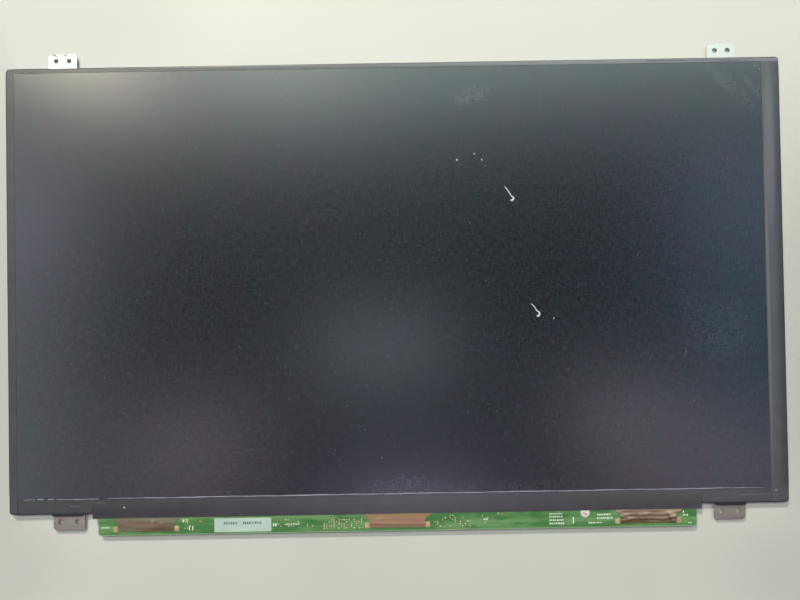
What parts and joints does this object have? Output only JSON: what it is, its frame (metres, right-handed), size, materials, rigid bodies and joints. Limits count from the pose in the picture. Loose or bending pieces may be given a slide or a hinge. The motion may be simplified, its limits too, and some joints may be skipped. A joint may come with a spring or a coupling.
{
  "type": "laptop screen panel",
  "caption": "Slim edge-lit laptop screen panel with bezel tapes, mounting ears and a control board along its lower edge.",
  "frame": {"origin": "middle of the body's back face", "axes": "+X to the right of the screen, +Y to its upper edge, +Z out of the glass"},
  "size_m": [0.3594, 0.2235, 0.0031],
  "materials": {
    "aluminium_sheet": "mill finish, faint rolling lines",
    "white_film": "matt white polyester",
    "clear_acrylic": "polished acrylic",
    "optical_film": "satin polyester film",
    "flex_circuit": "amber polyimide",
    "led_package": "white package, yellow window",
    "black_plastic": "moulded, fine grain",
    "black_tape": "polyester tape, satin",
    "polariser": "anti-glare film",
    "panel_glass": "thin display glass",
    "green_board": "green solder mask",
    "driver_film": "brown polyimide film",
    "silicon_chip": "bare back of a chip",
    "chip_package": "moulded epoxy",
    "plated_steel": "bright plated",
    "dull_steel": "dull plated",
    "ivory_plastic": "moulded connector plastic",
    "gold_contact": "gold flash",
    "ceramic": "fired ceramic, tinned ends",
    "ferrite": "pressed iron powder",
    "paper_label": "coated paper"
  },
  "bodies": {
    "root": {"back_plate": "aluminium_sheet", "reflector_sheet": "white_film", "light_guide": "clear_acrylic", "diffuser_sheet": "optical_film", "lower_prism_sheet": "optical_film", "upper_prism_sheet": "optical_film", "led_strip": "flex_circuit", "leds": "led_package", "mould_frame": "black_plastic", "rim_tape": "black_tape", "rear_polariser": "polariser", "array_glass": "panel_glass", "colour_filter_glass": "panel_glass", "front_polariser": "polariser", "left_edge_tape": "black_tape", "right_edge_tape": "black_tape", "top_edge_tape": "black_tape", "bottom_cover_tape": "black_tape", "control_board": "green_board", "signal_connector_housing": "ivory_plastic", "signal_connector_shell": "plated_steel", "signal_connector_contacts": "gold_contact", "led_connector": "ivory_plastic", "timing_controller_chip": "chip_package", "power_chip": "chip_package", "led_driver_chip": "chip_package", "reference_voltage_chip": "chip_package", "memory_chip": "chip_package", "board_fuse": "ceramic", "power_inductors": "ferrite", "rectifier_diodes": "chip_package", "ceramic_capacitors": "ceramic", "chip_resistors": "chip_package", "board_label": "paper_label", "inspection_sticker": "paper_label", "bracket_top_left": "plated_steel", "bracket_top_right": "plated_steel", "bracket_bottom_left": "dull_steel", "bracket_bottom_right": "dull_steel", "driver_film_left": "driver_film", "driver_chip_left": "silicon_chip", "driver_film_middle": "driver_film", "driver_chip_middle": "silicon_chip", "driver_film_right": "driver_film", "driver_chip_right": "silicon_chip"}
  },
  "joints": []
}
